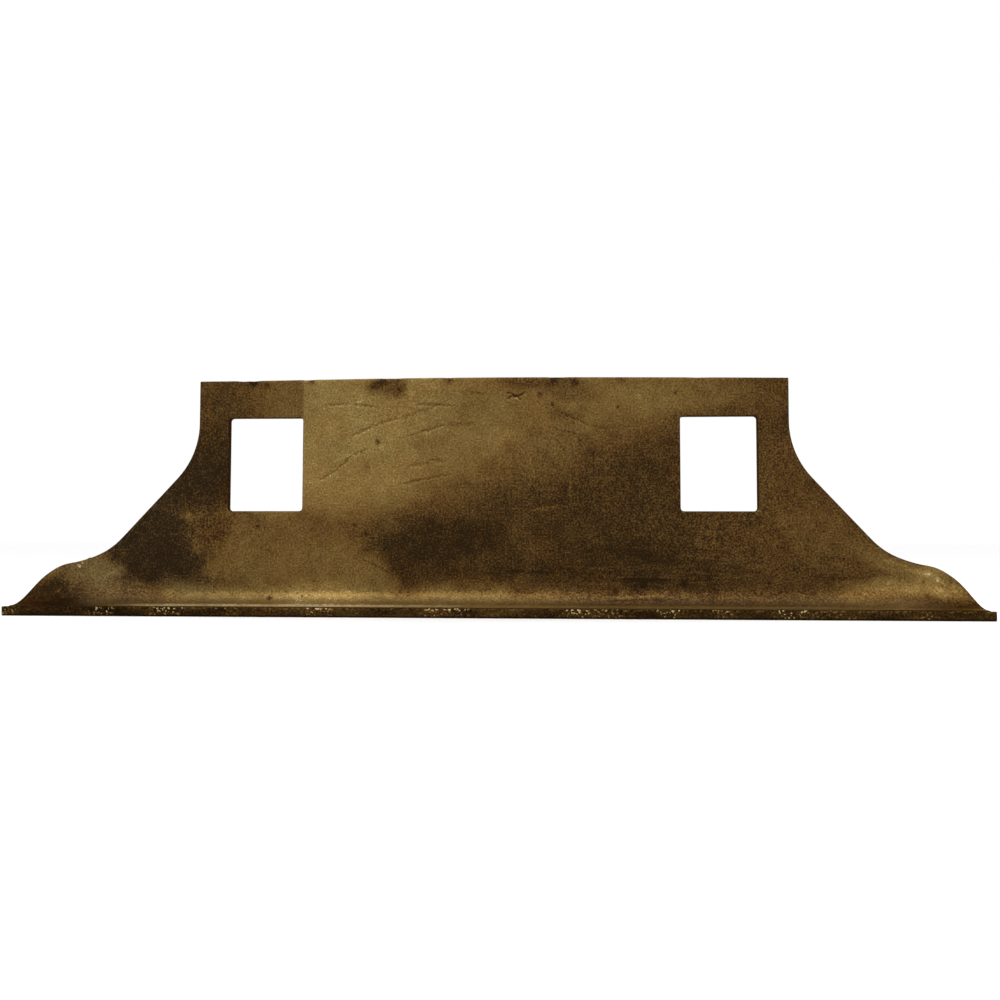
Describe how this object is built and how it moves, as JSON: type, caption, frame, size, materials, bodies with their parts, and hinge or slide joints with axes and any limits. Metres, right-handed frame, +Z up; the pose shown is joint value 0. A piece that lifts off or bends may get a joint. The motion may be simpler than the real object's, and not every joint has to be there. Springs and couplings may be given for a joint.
{
  "type": "kick plate",
  "caption": "Aged brass kick plate: an upright wall with ogee ends and rectangular windows that sweeps through a cove into a full-width front flange.",
  "frame": {"origin": "under the middle of the plate, on the plane of the flange's underside, midway between the back of the wall and the front edge of the flange", "axes": "+Z up the wall, +X along the plate to the right as seen from the front, +Y from the flange's front edge towards the back of the wall, so the front faces -Y"},
  "size_m": [0.432, 0.026, 0.108],
  "materials": {
    "aged_brass": "old brass with a brown, mottled patina, worn bright along its edges"
  },
  "bodies": {
    "root": {"kick_plate": "aged_brass"}
  },
  "joints": []
}
